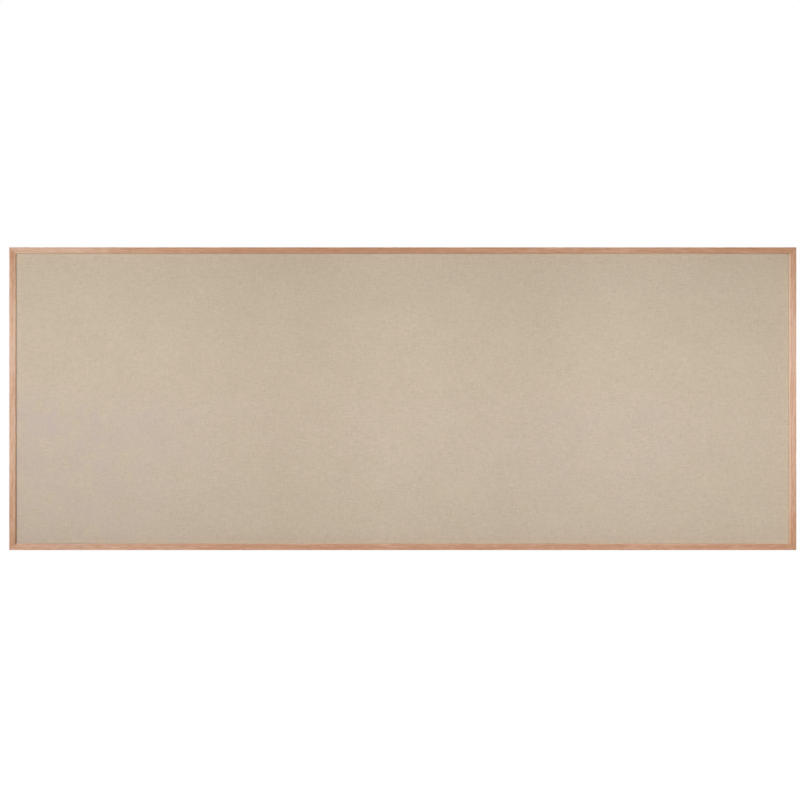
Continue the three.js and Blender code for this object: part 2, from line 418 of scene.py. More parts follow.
def oak(name, quarters, half, tones, lip_painted_light_tones, redness_share):
    """Lacquered red oak, grained along its side, with painted sheen in its tones, painted light on the lip's
    inner wall and painted shade on its outer side. tones are (share of the length, share of light).
    """
    material, tree = new_material(name)
    shift = SHIFT_PER_RAIL * (quarters + 1)
    dark, middle, light = (reddened(colour, redness_share) for colour in (OAK_DARK, OAK_MIDDLE, OAK_LIGHT))
    x, y, z = axes(place(tree))
    along, across = (z, x) if quarters % 2 else (x, z)
    grain = joined(along, across, y)
    early_wood = early_wood_at(grain, across, y, shift)
    streaks = noise(grain, OAK_STREAKS, shift)
    fibre = noise(grain, OAK_FIBRE, shift)
    late_wood_too = remap(early_wood, 0.0, 1.0, LATE_WOOD_PORES_SHARE, 1.0)
    pores = times(marked(grain, *OAK_PORES, shift), late_wood_too)

    share = remap(along, -half, half)
    wall = attribute(tree, "wall")
    tone = total(
        # Along each rail: the wood's tone with painted sheen
        tone_along(share, tones),
        marked(grain, *OAK_BROAD, shift),
        marked(grain, *OAK_STRANDS, shift),
        remap(streaks, *STREAKS_TONE),
        remap(fibre, *FIBRE_TONE),
        times(early_wood, EARLY_WOOD_TONE),
        # Painted shade on the outer side of the frame
        times(maths("MINIMUM", wall, 0.0), OUTER_SIDE_PAINTED_SHADE),
    )
    colour = mix(remap(tone, 0.0, MIDDLE_TONE), dark, middle)
    colour = mix(remap(tone, MIDDLE_TONE, 1.0), colour, light)
    colour = mix(times(pores, PORE_COLOUR_SHARE), colour, OAK_PORE)
    worn = times(attribute(tree, "arris"), marked(grain, *OAK_WORN), WORN_COLOUR_SHARE)
    colour = mix(worn, colour, OAK_LIGHT)
    # Painted light: the lip's inner wall mixed towards a pale colour
    lip = times(maths("MAXIMUM", wall, 0.0), tone_along(share, lip_painted_light_tones))
    colour = mix(lip, colour, OAK_LIP_PAINTED_LIGHT)

    relief = maths("SUBTRACT", times(fibre, FIBRE_RELIEF_SHARE), pores)
    surface(OAK_FINISH | {
        "Base Color": colour,
        "Roughness": remap(streaks, *STREAKS_ROUGHNESS),
        "Normal": bump(relief, *OAK_RELIEF),
    })
    return material


# Fabric

FABRIC_LIGHT = srgb(210.5, 195, 173)
FABRIC_DARK = srgb(190.5, 175, 153)
FABRIC_FLECK = srgb(150, 134, 110)
FABRIC_LILAC = srgb(199, 181, 180)
# A near-black for the painted shade on the cloth under the lips
FABRIC_PAINTED_SHADE = srgb(58, 50, 42)
YARN_PITCH = 1.1 * MM
YARN_WANDER = 0.7 * MM
YARN_CROSSING = (-0.35, 0.35)
# Marks in the cloth, by their sizes across it and up it; they are the same all through it
FLAT = 1000
WANDER_ACROSS = ((6, 20, FLAT), 1.0, 0.5, 2)
WANDER_UP = ((20, 6, FLAT), 1.0, 0.5, 4)
WARP_YARNS = ((1.2, 20, FLAT), 2.0, 0.6, 6)
WEFT_YARNS = ((22, 1.2, FLAT), 2.0, 0.6, 9)
YARNS_TONE = (0.25, 0.75, 0.22, 0.78)
# Painted shade in the weave's hollows and painted light on the yarns' crowns
WEAVE_PAINTED_SHADE = (0.0, 1.0, -0.2, 0.1)
# Marks, and what they give
STROKES_ACROSS = ((24, 2.6, FLAT), 2.0, 0.6, 12), (0.2, 0.8, -0.4, 0.4)
STROKES_UP = ((2.6, 20, FLAT), 2.0, 0.6, 18), (0.2, 0.8, -0.35, 0.35)
CLOUDS = ((120, 100, FLAT), 3.0, 0.5, 15), (0.3, 0.7, -0.08, 0.08)
LILAC_YARNS = ((50, 50, FLAT), 4.0, 0.75, 21), (0.4, 0.6, 0.0, 0.52)
SLUBS_ACROSS = ((11, 2.2, FLAT), 1.0, 0.5, 27), (0.68, 0.78)
SLUBS_UP = ((2.2, 11, FLAT), 1.0, 0.5, 31), (0.7, 0.8)
SLUB_COLOUR_SHARE = 0.5
# Soft upright bars in the cloth, fainter low down, from left to right: share of the width, share of light
BARS = [(0.09, 0.95), (0.37, 0.0), (0.5, 0.65), (0.65, 0.3), (0.77, 0.95), (0.97, 0.35)]
BARS_MIDDLE = 0.5
LOW_BAR_STRENGTH = 0.2
HIGH_BAR_STRENGTH = 0.4
# Where lilac yarns gather: share of the width or the height, share of lilac
LILAC_ACROSS = [(0.05, 1.0), (0.36, 0.15), (0.55, 0.35), (0.78, 0.5), (0.96, 0.15)]
LILAC_UP = [(0.0, 0.65), (0.44, 1.0), (0.56, 0.0)]
# Lines and rims: painted shade under the lips and in the hem's folds, painted light by the lips
SURFACE_WITHIN = 1 * MM
PAINTED_LIGHT_RIM_WIDTH = 14 * MM
PAINTED_LIGHT_RIM_TONE = 0.4
# How wide the painted shade under the lips runs, and how soft its edge is
LIP_SHADE_WIDTH = 1.9 * MM
LIP_SHADE_EDGE = 0.15 * MM
FOLD_SHADE_WIDTH = 1.1 * MM
FOLD_SHADE_SHARE = 0.7
FABRIC_RELIEF = (0.25 * MM, 0.5)
FABRIC_FINISH = {"Roughness": 0.92, "Sheen Weight": 0.04, "Specular IOR Level": 0.2}


def on_front(y):
    """1 on the front of the cloth, 0 on its sides and its back."""
    return maths("LESS_THAN", y, PANEL_LOW[1] + SURFACE_WITHIN)


def rim_painted_light(x, y, z):
    """How much painted light makes the front of the cloth paler close by the lip at its left and its bottom.
    """
    from_left = maths("ADD", x, SIGHT_HALF_WIDTH)
    from_bottom = maths("ADD", z, SIGHT_HALF_HEIGHT)
    nearest = maths("MINIMUM", from_left, from_bottom)
    paler = remap(nearest, 0.0, PAINTED_LIGHT_RIM_WIDTH, PAINTED_LIGHT_RIM_TONE, 0.0)
    return times(paler, on_front(y))


def lip_painted_shade(x, y, z):
    """1 along the front of the cloth just under the lip of the top rail and the stiles, where shade is
    painted as a dark line.
    """
    off_stile = maths("SUBTRACT", SIGHT_HALF_WIDTH, maths("ABSOLUTE", x))
    off_top = maths("SUBTRACT", SIGHT_HALF_HEIGHT, z)
    inside = maths("MINIMUM", off_stile, off_top)
    under_lip = remap(inside, LIP_SHADE_EDGE, -LIP_SHADE_EDGE)
    near_edge = remap(inside, -LIP_SHADE_WIDTH - LIP_SHADE_EDGE, -LIP_SHADE_WIDTH)
    return times(under_lip, near_edge, on_front(y))


def fold_painted_shade(x, y, z):
    """1 along the diagonal folds of the hem, at the corners of the cloth's back, where shade is painted into
    the crease.
    """
    off_side = maths("SUBTRACT", HALF_PANEL_WIDTH, maths("ABSOLUTE", x))
    off_end = maths("SUBTRACT", HALF_PANEL_HEIGHT, maths("ABSOLUTE", z))
    off_fold = maths("ABSOLUTE", maths("SUBTRACT", off_side, off_end))
    near_fold = remap(off_fold, FOLD_SHADE_WIDTH, 0.0, smooth=True)
    on_back = maths("GREATER_THAN", y, PANEL_HIGH[1] - SURFACE_WITHIN)
    return times(near_fold, on_back)


def yarn_angle(cloth, way, wander):
    """An angle that turns half round from one yarn to the next, for yarns that don't run quite straight."""
    strayed = maths("ADD", way, times(noise(cloth, wander), YARN_WANDER))
    return times(strayed, math.pi / YARN_PITCH)


def plain_weave(cloth, across, up):
    """Where the warp lies over the weft, from 0 to 1, and how high the yarn on top stands."""
    warp_angle = yarn_angle(cloth, across, WANDER_ACROSS)
    weft_angle = yarn_angle(cloth, up, WANDER_UP)
    warp_round = maths("ABSOLUTE", maths("SINE", warp_angle))
    weft_round = maths("ABSOLUTE", maths("SINE", weft_angle))
    over = times(maths("COSINE", warp_angle), maths("COSINE", weft_angle))
    over = remap(over, *YARN_CROSSING, smooth=True)
    return over, blend(over, weft_round, warp_round)


def soft_bars(share_across, share_up):
    """How much lighter or darker the cloth is across its width."""
    bars = maths("SUBTRACT", tone_along(share_across, BARS), BARS_MIDDLE)
    return times(bars, remap(share_up, 0.0, 1.0, LOW_BAR_STRENGTH, HIGH_BAR_STRENGTH))


def slubs(cloth):
    """1 in the thick spots of the yarns, both ways."""
    return maths("MAXIMUM", marked(cloth, *SLUBS_ACROSS), marked(cloth, *SLUBS_UP))


def fabric():
    """A plain weave in heathered beige yarns with slubs both ways."""
    material, tree = new_material("fabric_weave")
    x, y, z = axes(place(tree))
    across = maths("ADD", x, y)
    up = maths("ADD", z, y)
    cloth = joined(across, up, 0.0)
    over, height = plain_weave(cloth, across, up)
    yarns = blend(over, noise(cloth, WEFT_YARNS), noise(cloth, WARP_YARNS))
    share_across = remap(x, -HALF_WIDTH, HALF_WIDTH)
    share_up = remap(z, -HALF_HEIGHT, HALF_HEIGHT)
    tone = total(
        soft_bars(share_across, share_up),
        # Painted light on the cloth by the left and bottom lips
        rim_painted_light(x, y, z),
        remap(yarns, *YARNS_TONE),
        marked(cloth, *STROKES_ACROSS),
        marked(cloth, *STROKES_UP),
        marked(cloth, *CLOUDS),
        # Painted shade in the weave's hollows, painted light on its crowns
        remap(height, *WEAVE_PAINTED_SHADE),
    )
    lilac = times(
        marked(cloth, *LILAC_YARNS),
        tone_along(share_across, LILAC_ACROSS),
        tone_along(share_up, LILAC_UP),
    )
    colour = mix(tone, FABRIC_DARK, FABRIC_LIGHT)
    colour = mix(lilac, colour, FABRIC_LILAC)
    colour = mix(times(slubs(cloth), SLUB_COLOUR_SHARE), colour, FABRIC_FLECK)
    # Painted shade: a dark line on the cloth just under the lips
    colour = mix(lip_painted_shade(x, y, z), colour, FABRIC_PAINTED_SHADE)
    # Painted shade in the creases of the hem's folds
    colour = mix(times(fold_painted_shade(x, y, z), FOLD_SHADE_SHARE), colour, FABRIC_FLECK)
    normal = bump(height, *FABRIC_RELIEF)
    surface(FABRIC_FINISH | {"Base Color": colour, "Normal": normal})
    return material


# Hardboard

HARDBOARD_DARK = srgb(92, 62, 40)
HARDBOARD_LIGHT = srgb(134, 98, 68)
SCREEN_PITCH = 1.7 * MM
HARDBOARD_FIBRES = ((4, 4, 4), 4.0, 0.7, 5)
HARDBOARD_FIBRES_TONE = (0.3, 0.7, -0.22, 0.22)
HARDBOARD_PATCHES = ((140, 140, 90), 4.0, 0.6, 9), (0.3, 0.7, 0.54, 0.7)
# Painted shade in the screen's pits
PITS_PAINTED_SHADE = -0.4
PITS_RELIEF_SHARE = -0.5
FIBRES_RELIEF_SHARE = 0.6
HARDBOARD_RELIEF = (0.3 * MM, 0.8)
HARDBOARD_FINISH = {"Roughness": 0.82, "Specular IOR Level": 0.3}


def hardboard():
    """The screen-printed back of tempered hardboard."""
    material, tree = new_material("hardboard_screen_back")
    coordinates = place(tree)
    x, _, z = axes(coordinates)
    turn = 2 * math.pi / SCREEN_PITCH
    rising = maths("SINE", times(maths("ADD", x, z), turn))
    falling = maths("SINE", times(maths("SUBTRACT", x, z), turn))
    pits = remap(times(rising, falling), -1.0, 1.0)
    fibres = noise(coordinates, HARDBOARD_FIBRES)
    tone = total(
        remap(fibres, *HARDBOARD_FIBRES_TONE),
        marked(coordinates, *HARDBOARD_PATCHES),
        # Painted shade in the pits
        times(pits, PITS_PAINTED_SHADE),
    )
    colour = mix(tone, HARDBOARD_DARK, HARDBOARD_LIGHT)
    relief = total(times(fibres, FIBRES_RELIEF_SHARE), times(pits, PITS_RELIEF_SHARE))
    normal = bump(relief, *HARDBOARD_RELIEF)
    surface(HARDBOARD_FINISH | {"Base Color": colour, "Normal": normal})
    return material


# Fibreboard

CORE_DARK = srgb(138, 118, 90)
CORE_LIGHT = srgb(180, 160, 130)
CORE_FIBRES = ((6, 2, 6), 5.0, 0.7, 3)
CORE_FIBRES_TONE = (0.3, 0.7, -0.2, 0.5)
CORE_CLUMPS = ((30, 4, 30), 3.0, 0.6, 7), (0.3, 0.7, 0.0, 0.5)
CORE_RELIEF = (0.6 * MM, 0.7)
CORE_FINISH = {"Roughness": 0.95}


def fibreboard():
    """The soft core that takes the pins: pale pressed fibres in clumps."""
    material, tree = new_material("tack_fibreboard")
    coordinates = place(tree)
    fibres = noise(coordinates, CORE_FIBRES)
    tone = total(remap(fibres, *CORE_FIBRES_TONE), marked(coordinates, *CORE_CLUMPS))
    colour = mix(tone, CORE_DARK, CORE_LIGHT)
    normal = bump(fibres, *CORE_RELIEF)
    surface(CORE_FINISH | {"Base Color": colour, "Normal": normal})
    return material


# Zinc on steel: each kind's name, dark tone, light tone and drawing marks

PLATE_ZINC = ("zinc_plate", srgb(150, 154, 160), srgb(206, 208, 210), ((20, 0.4, 0.4), 3.0, 0.6, 4))
SCREW_ZINC = ("zinc_screw", srgb(140, 142, 146), srgb(200, 202, 204), ((1, 0.4, 1), 3.0, 0.6, 4))
WIRE_ZINC = ("zinc_wire", srgb(150, 150, 152), srgb(210, 210, 210), ((0.5, 0.5, 0.5), 3.0, 0.6, 4))
ZINC_BLOOM = ((6, 6, 6), 3.0, 0.6, 8)
ZINC_TONE = (0.3, 0.7, 0.0, 0.5)
ZINC_ROUGHNESS = (0.3, 0.7, 0.3, 0.46)
ZINC_RELIEF = (0.03 * MM, 0.4)


def zinc(name, dark, light, drawing_marks):
    """Bright zinc plate on steel, with fine drawing marks."""
    material, tree = new_material(name)
    coordinates = place(tree)
    marks = noise(coordinates, drawing_marks)
    bloom = noise(coordinates, ZINC_BLOOM)
    tone = total(remap(marks, *ZINC_TONE), remap(bloom, *ZINC_TONE))
    surface({
        "Base Color": mix(tone, dark, light),
        "Metallic": 1.0,
        "Roughness": remap(bloom, *ZINC_ROUGHNESS),
        "Normal": bump(marks, *ZINC_RELIEF),
    })
    return material


# Rubber

RUBBER_DARK = srgb(58, 50, 44)
RUBBER_DUSTY = srgb(84, 76, 68)
RUBBER_SPECKS = ((0.8, 0.8, 0.8), 3.0, 0.6, 2)
RUBBER_DUST = ((4, 4, 4), 3.0, 0.6, 6)
RUBBER_DUST_SEEN = (0.4, 0.75)
RUBBER_ROUGHNESS = (0.3, 0.7, 0.6, 0.78)
RUBBER_RELIEF = (0.08 * MM, 0.5)
RUBBER_FINISH = {"Specular IOR Level": 0.35}


def bumper_rubber():
    """Dark brown rubber with a little dust on it."""
    material, tree = new_material("bumper_rubber")
    coordinates = place(tree)
    specks = noise(coordinates, RUBBER_SPECKS)
    dust = noise(coordinates, RUBBER_DUST)
    surface(RUBBER_FINISH | {
        "Base Color": mix(remap(dust, *RUBBER_DUST_SEEN), RUBBER_DARK, RUBBER_DUSTY),
        "Roughness": remap(dust, *RUBBER_ROUGHNESS),
        "Normal": bump(specks, *RUBBER_RELIEF),
    })
    return material


# Camera: straight on, as far away as the sliver of the lip's inner wall in view tells

CAMERA_DISTANCE = 2.42
SENSOR_MM = 36.0
CAMERA_REACH = 60.0


def camera():
    pixel = 2 * HALF_WIDTH / (PHOTO_RIGHT_PX - PHOTO_LEFT_PX)
    data = bpy.data.cameras.new("camera")
    data.sensor_width = SENSOR_MM
    data.lens = SENSOR_MM * CAMERA_DISTANCE / (pixel * PHOTO_SIDE_PX)
    data.clip_end = CAMERA_REACH
    eye = bpy.data.objects.new("camera", data)
    right_of_middle = (PHOTO_LEFT_PX + PHOTO_RIGHT_PX - PHOTO_SIDE_PX) / 2
    below_middle = (PHOTO_TOP_PX + PHOTO_BOTTOM_PX - PHOTO_SIDE_PX) / 2
    outer_edge_y = FRONT_Y + FRONT_EDGE_RADIUS
    eye.location = (-right_of_middle * pixel, outer_edge_y - CAMERA_DISTANCE, below_middle * pixel)
    eye.rotation_euler = (math.pi / 2, 0, 0)
    bpy.context.scene.collection.objects.link(eye)
    bpy.context.scene.camera = eye


# Frame

REAR_FACE_WIDTH = 12.7 * MM
FRONT_EDGE_RADIUS = 1.5 * MM
INNER_EDGE_RADIUS = 0.3 * MM
LIP_REAR_EASE = 1.6 * MM
REAR_EDGE_RADIUS = 0.8 * MM
LIP_DEPTH = 9.5 * MM
MITRE_SETBACK = 0.14 * MM
ARRIS_REACH = 1.4 * MM
RABBET_WEAR_SHARE = 0.6
LIP_FRONT_PAINTED_LIGHT_SHARE = 0.6
EDGE_STEPS = 6
RAIL_STEP = 60 * MM

# How light each rail is along it, from its low end to its high end, partly the wood's own tone and partly
# painted sheen: share of the length, share of light
TOP_TONE_AND_SHEEN = [(0.0, 0.95), (0.35, 0.27), (0.6, 0.41), (0.8, 0.64), (1.0, 0.46)]
BOTTOM_TONE_AND_SHEEN = [(0.0, 0.8), (0.4, 0.5), (0.64, 0.52), (0.76, 0.62), (1.0, 0.55)]
LEFT_TONE_AND_SHEEN = [(0.0, 0.5), (0.28, 0.85), (0.52, 0.81), (0.68, 0.98), (1.0, 0.57)]
RIGHT_TONE_AND_SHEEN = [(0.0, 0.48), (0.18, 0.72), (0.43, 0.78), (0.7, 0.97), (1.0, 0.63)]
# How much painted light makes the inner wall of the lip paler along each rail
TOP_LIP_PAINTED_LIGHT = [(0.0, 0.5), (1.0, 0.5)]
BOTTOM_LIP_PAINTED_LIGHT = [(0.0, 1.0), (1.0, 1.0)]
LEFT_LIP_PAINTED_LIGHT = [(0.0, 0.1), (0.3, 0.5), (0.8, 0.9), (1.0, 0.9)]
RIGHT_LIP_PAINTED_LIGHT = [(0.0, 0.55), (0.3, 0.8), (0.73, 1.0), (1.0, 0.9)]

# The sides, each a quarter turn on from the one before: name, tones with painted sheen, the lip's painted
# light, redness share
SIDES = [
    ("top_rail", TOP_TONE_AND_SHEEN, TOP_LIP_PAINTED_LIGHT, 0.0),
    ("right_stile", RIGHT_TONE_AND_SHEEN, RIGHT_LIP_PAINTED_LIGHT, 0.01),
    ("bottom_rail", BOTTOM_TONE_AND_SHEEN, BOTTOM_LIP_PAINTED_LIGHT, 0.045),
    ("left_stile", LEFT_TONE_AND_SHEEN, LEFT_LIP_PAINTED_LIGHT, 0.0),
]


def turned_about_y(x, z, quarters):
    """A place built as the top rail lies, turned to its side of the board."""
    for _ in range(quarters):
        x, z = z, -x
    return x, z


def halves(quarters, half_width, half_height):
    """Half of a side's length, and how far from the middle of the board it lies."""
    return (half_height, half_width) if quarters % 2 else (half_width, half_height)


def moulding_section():
    """The oak's section as (u, v, arris, wall): u inwards from the outer edge, v forwards from the rear face.

    arris is 1 on the rounded edges. wall is -1 on the outer side, where shade is painted, and up to 1 on the
    lip's inner wall, where light is painted.
    """
    rear, front, inner = REAR_EDGE_RADIUS, FRONT_EDGE_RADIUS, INNER_EDGE_RADIUS
    lip_back = FRAME_DEPTH - LIP_DEPTH
    flat = ARRIS_REACH
    section = [(0, FRAME_DEPTH - front - flat, 0, -1), (0, rear + flat, 0, -1)]
    section += [(u, v, 1, 0) for u, v in arc(rear, rear, rear, 180, 270, EDGE_STEPS // 2)]
    section += [(rear + flat, 0, 0, 0), (REAR_FACE_WIDTH - flat / 2, 0, 0, 0)]
    section += [(REAR_FACE_WIDTH, 0, RABBET_WEAR_SHARE, 0), (REAR_FACE_WIDTH, lip_back, 0, 0)]
    section += [(FACE_WIDTH - LIP_REAR_EASE, lip_back, 0, 0), (FACE_WIDTH, lip_back + LIP_REAR_EASE, 0, 1)]
    section += [(FACE_WIDTH, FRAME_DEPTH - inner - flat, 0, LIP_FRONT_PAINTED_LIGHT_SHARE)]
    edge = arc(FACE_WIDTH - inner, FRAME_DEPTH - inner, inner, 0, 90, EDGE_STEPS)
    section += [(u, v, 1, 0) for u, v in edge]
    section += [(FACE_WIDTH - inner - flat, FRAME_DEPTH, 0, 0), (front + flat, FRAME_DEPTH, 0, 0)]
    edge = arc(front, FRAME_DEPTH - front, front, 90, 180, EDGE_STEPS)
    section += [(u, v, 1, -i / EDGE_STEPS) for i, (u, v) in enumerate(edge)]
    return section


def rail(quarters, name, *looks):
    """One mitred length of moulding."""
    half, reach = halves(quarters, HALF_WIDTH, HALF_HEIGHT)
    section = moulding_section()
    steps = round(2 * half / RAIL_STEP)
    rings = []
    for i in range(steps + 1):
        share = 2 * i / steps - 1
        ring = []
        for u, v, _, _ in section:
            x, z = turned_about_y(share * (half - u - MITRE_SETBACK), reach - u, quarters)
            ring.append((x, REAR_Y - v, z))
        rings.append(ring)
    mesh = lofted(f"oak_{name}", rings)
    wear = [float(arris) for _, _, arris, _ in section]
    walls = [float(wall) for _, _, _, wall in section]
    for label, values in (("arris", wear), ("wall", walls)):
        layer = mesh.attributes.new(label, "FLOAT", "POINT")
        layer.data.foreach_set("value", values * len(rings))
    material = oak(f"oak_{name}", quarters, half, *looks)
    finish_piece(f"oak_{name}", mesh, material, [name])


# Panel

FABRIC_THICKNESS = 0.8 * MM
CLOTH_SHARP_DEGREES = 60.0
HARDBOARD_EASE = 0.3 * MM
CORE_EASE = 0.4 * MM
HEM_WIDTH = 26 * MM
PANEL_EDGE_RADIUS = 1.3 * MM
PANEL_CORNER_RADIUS = 2.2 * MM
WRAP_STEPS = 4
CORNER_STEPS = 5
GRID_STEP = 16 * MM
SAME_PLACE = 0.02 * MM
FOLD_PLACES = (1.2 * MM, 3.2 * MM, 7 * MM)
HEM_SHARES = (0.06, 0.2, 0.4, 0.6, 0.8, 0.93, 1.0)
FOLD_RISE = 0.8 * MM
FOLD_REACH = 15 * MM
FOLD_GROOVE = 1.5 * MM
HEM_LIFT = 0.35 * MM
STAPLE_PITCH = 75 * MM
# Waves: the rate along them and the rate of their sway in radians per metre, and the sway in radians
RIPPLE = 0.06 * MM
RIPPLE_ACROSS = (11.0, 5.0, 2.0)
RIPPLE_UP = (17.0, 7.0, 1.3)
RIPPLE_INSET = 4 * MM
RIPPLE_FADE = 30 * MM
HEM_WAVER = 0.5 * MM
HEM_WAVE = (41, 17, 3)
HEM_BEAT_ACROSS = 23
HEM_BEAT_UP = 67
HEM_WAVER_POWER = 4


def ripple(x, z):
    """How far the cloth's face rises or falls there: none under the lip, where it is held flat."""
    inside = min(SIGHT_HALF_WIDTH - abs(x), SIGHT_HALF_HEIGHT - abs(z))
    wave = swaying(x, z, *RIPPLE_ACROSS) + swaying(z, x, *RIPPLE_UP)
    return RIPPLE * wave / 2 * smoothstep((inside - RIPPLE_INSET) / RIPPLE_FADE)


def grid_places(half):
    """Places across the cloth: even in the middle, and closer by the corners, where the hem folds."""
    inner = half - max(FOLD_PLACES) - GRID_STEP / 2
    count = round(2 * inner / GRID_STEP)
    inner_places = [inner * (2 * i / count - 1) for i in range(count + 1)]
    ends = [half - reach for reach in reversed(FOLD_PLACES)] + [half]
    return [-end for end in reversed(ends)] + inner_places + ends


def hem_height(x, z, share):
    """How far the hem stands off the board: thick by the folded corners, loose between staples."""
    edge_x, edge_z = HALF_PANEL_WIDTH - abs(x), HALF_PANEL_HEIGHT - abs(z)
    off_mitre = abs(edge_x - edge_z)
    fold = FOLD_RISE * (1 - smoothstep(off_mitre / FOLD_REACH)) * smoothstep(off_mitre / FOLD_GROOVE)
    run = x if edge_z < edge_x else z
    lift = HEM_LIFT * share ** 2 * (1 - math.cos(2 * math.pi * run / STAPLE_PITCH)) / 2
    return fold + lift * smoothstep((off_mitre - 2 * HEM_WIDTH) / HEM_WIDTH)


def hem_waver(x, z, share):
    """How far the hem strays from a straight cut there; share is how far in over the hem."""
    beat = math.sin(HEM_BEAT_UP * z + HEM_BEAT_ACROSS * x)
    return HEM_WAVER * swaying(x, z, *HEM_WAVE) * beat * share ** HEM_WAVER_POWER


def wrapped_edge():
    """The cloth's outer face from its front round the panel's edge, as (outwards, y)."""
    radius, out = PANEL_EDGE_RADIUS, PANEL_CORNER_RADIUS
    front_arc = arc(out - radius, PANEL_LOW[1] + radius, radius, -90, 0, WRAP_STEPS)
    return front_arc + arc(out - radius, PANEL_HIGH[1] - radius, radius, 0, 90, WRAP_STEPS)


def cloth_edge(base_x, base_z):
    """The rim of the cloth's flat front as (x, z, heading in degrees), with a fan at each corner."""
    rim = [(x, base_z[0], -90) for x in base_x[1:]]
    rim += [(base_x[-1], z, 0) for z in base_z[1:]]
    rim += [(x, base_z[-1], 90) for x in base_x[-2::-1]]
    rim += [(base_x[0], z, 180) for z in base_z[-2::-1]]
    around = []
    for x, z, heading in rim:
        around.append((x, z, heading))
        if abs(x) == base_x[-1] and abs(z) == base_z[-1]:
            around += [(x, z, heading + 90 * k / CORNER_STEPS) for k in range(1, CORNER_STEPS + 1)]
    return around


def fabric_cloth():
    """The facing's outer face: front, wrapped edges and hem in one cloth."""
    base_x = grid_places(HALF_PANEL_WIDTH - PANEL_CORNER_RADIUS)
    base_z = grid_places(HALF_PANEL_HEIGHT - PANEL_CORNER_RADIUS)
    columns = len(base_x)
    vertices = [(x, PANEL_LOW[1] + ripple(x, z), z) for z in base_z for x in base_x]
    faces = []
    for j in range(len(base_z) - 1):
        low = range(j * columns, (j + 1) * columns)
        bridge(faces, low, range((j + 1) * columns, (j + 2) * columns), closed=False)

    around = cloth_edge(base_x, base_z)
    rings = []
    for out, y in [(0.0, PANEL_LOW[1])] + wrapped_edge():
        rings.append(range(len(vertices), len(vertices) + len(around)))
        for x, z, heading in around:
            angle = math.radians(heading)
            vertices.append((x + out * math.cos(angle), y, z + out * math.sin(angle)))
    for share in HEM_SHARES:
        rings.append(range(len(vertices), len(vertices) + len(around)))
        for x, z, _ in around:
            inset = max(PANEL_EDGE_RADIUS, share * HEM_WIDTH) + hem_waver(x, z, share)
            x *= (HALF_PANEL_WIDTH - inset) / base_x[-1]
            z *= (HALF_PANEL_HEIGHT - inset) / base_z[-1]
            vertices.append((x, PANEL_HIGH[1] + hem_height(x, z, share), z))
    for first, second in zip(rings, rings[1:]):
        bridge(faces, first, second)
    return turn_outwards(mesh_of("fabric_facing_cloth", vertices, faces), SAME_PLACE)


def fabric_facing():
    name = "fabric_facing_cloth"
    cloth = finish_piece(name, fabric_cloth(), fabric(), ["fabric_facing"], CLOTH_SHARP_DEGREES)
    solid = cloth.modifiers.new("thickness", "SOLIDIFY")
    solid.thickness = FABRIC_THICKNESS
    solid.offset = -1.0


def eased_board(name, node, ease, material):
    """A flat board with eased edges, where its CAD node lies."""
    low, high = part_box(node)
    rings = []
    for inset, y in ((ease, high[1]), (0.0, high[1] - ease), (0.0, low[1] + ease), (ease, low[1])):
        left, right = low[0] + inset, high[0] - inset
        bottom, top = low[2] + inset, high[2] - inset
        rings.append([(left, y, bottom), (right, y, bottom), (right, y, top), (left, y, top)])
    finish_piece(name, lofted(name, rings), material, [node])


# Staples through the hem

STAPLE_CROWN = 10 * MM
STAPLE_LEG = 8 * MM
STAPLE_WIDTH = 1.1 * MM
STAPLE_THICKNESS = 0.55 * MM
STAPLE_BEND = 0.8 * MM
STAPLE_BEND_STEPS = 3
STAPLE_FROM_EDGE = 14 * MM
STAPLE_FREE_END = 1.5 * HEM_WIDTH
STAPLE_SKEW_DEGREES = 6
STAPLE_SHIFT = 2 * MM
STAPLE_SEED = 11


def staple_path():
    """Half-way through the wire, from one leg's tip over the crown to the other's, as (along, outwards)."""
    half, bend = STAPLE_CROWN / 2, STAPLE_BEND
    path = [Vector((-half, -STAPLE_LEG))] + arc(-half + bend, -bend, bend, 180, 90, STAPLE_BEND_STEPS)
    return path + arc(half - bend, -bend, bend, 90, 0, STAPLE_BEND_STEPS) + [Vector((half, -STAPLE_LEG))]


def staple(x, z, heading):
    """The rings of a staple with its crown along the heading, driven towards the front."""
    path = staple_path()
    rings = []
    for i, point in enumerate(path):
        way = (path[min(i + 1, len(path) - 1)] - path[max(i - 1, 0)]).normalized()
        normal = Vector((-way.y, way.x)) * STAPLE_THICKNESS / 2
        ring = []
        for side, wide in ((1, -1), (1, 1), (-1, 1), (-1, -1)):
            along, out = point + normal * side
            across = wide * STAPLE_WIDTH / 2
            ring.append((
                x + along * math.cos(heading) - across * math.sin(heading),
                PANEL_HIGH[1] + out + STAPLE_THICKNESS / 2,
                z + along * math.sin(heading) + across * math.cos(heading),
            ))
        rings.append(ring)
    return rings


def staples(material):
    """A row of staples along each side of the hem, none of them quite straight."""
    random.seed(STAPLE_SEED)
    rows = []
    for quarters in range(len(SIDES)):
        half_run, reach = halves(quarters, HALF_PANEL_WIDTH, HALF_PANEL_HEIGHT)
        count = 2 * int((half_run - STAPLE_FREE_END) / STAPLE_PITCH) + 1
        for i in range(count):
            x = (i - (count - 1) / 2) * STAPLE_PITCH + random.uniform(-1, 1) * STAPLE_SHIFT
            z = reach - STAPLE_FROM_EDGE + random.uniform(-1, 1) * STAPLE_SHIFT / 2
            x, z = turned_about_y(x, z, quarters)
            skew = math.radians(random.uniform(-1, 1) * STAPLE_SKEW_DEGREES)
            rows.append(staple(x, z, skew + quarters * math.pi / 2))
    finish_piece("hem_staples", lofted("hem_staples", *rows), material)


# Plates: flat steel with eased edges and countersunk holes

PLATE_EASE = 0.25 * MM
PLATE_CORNER_RADIUS = 2.4 * MM
PLATE_CORNER_STEPS = 4
SCREW_CLEARANCE = 0.3 * MM
SHANK_DIAMETER = 3 * MM
HOLE_STEPS = 24


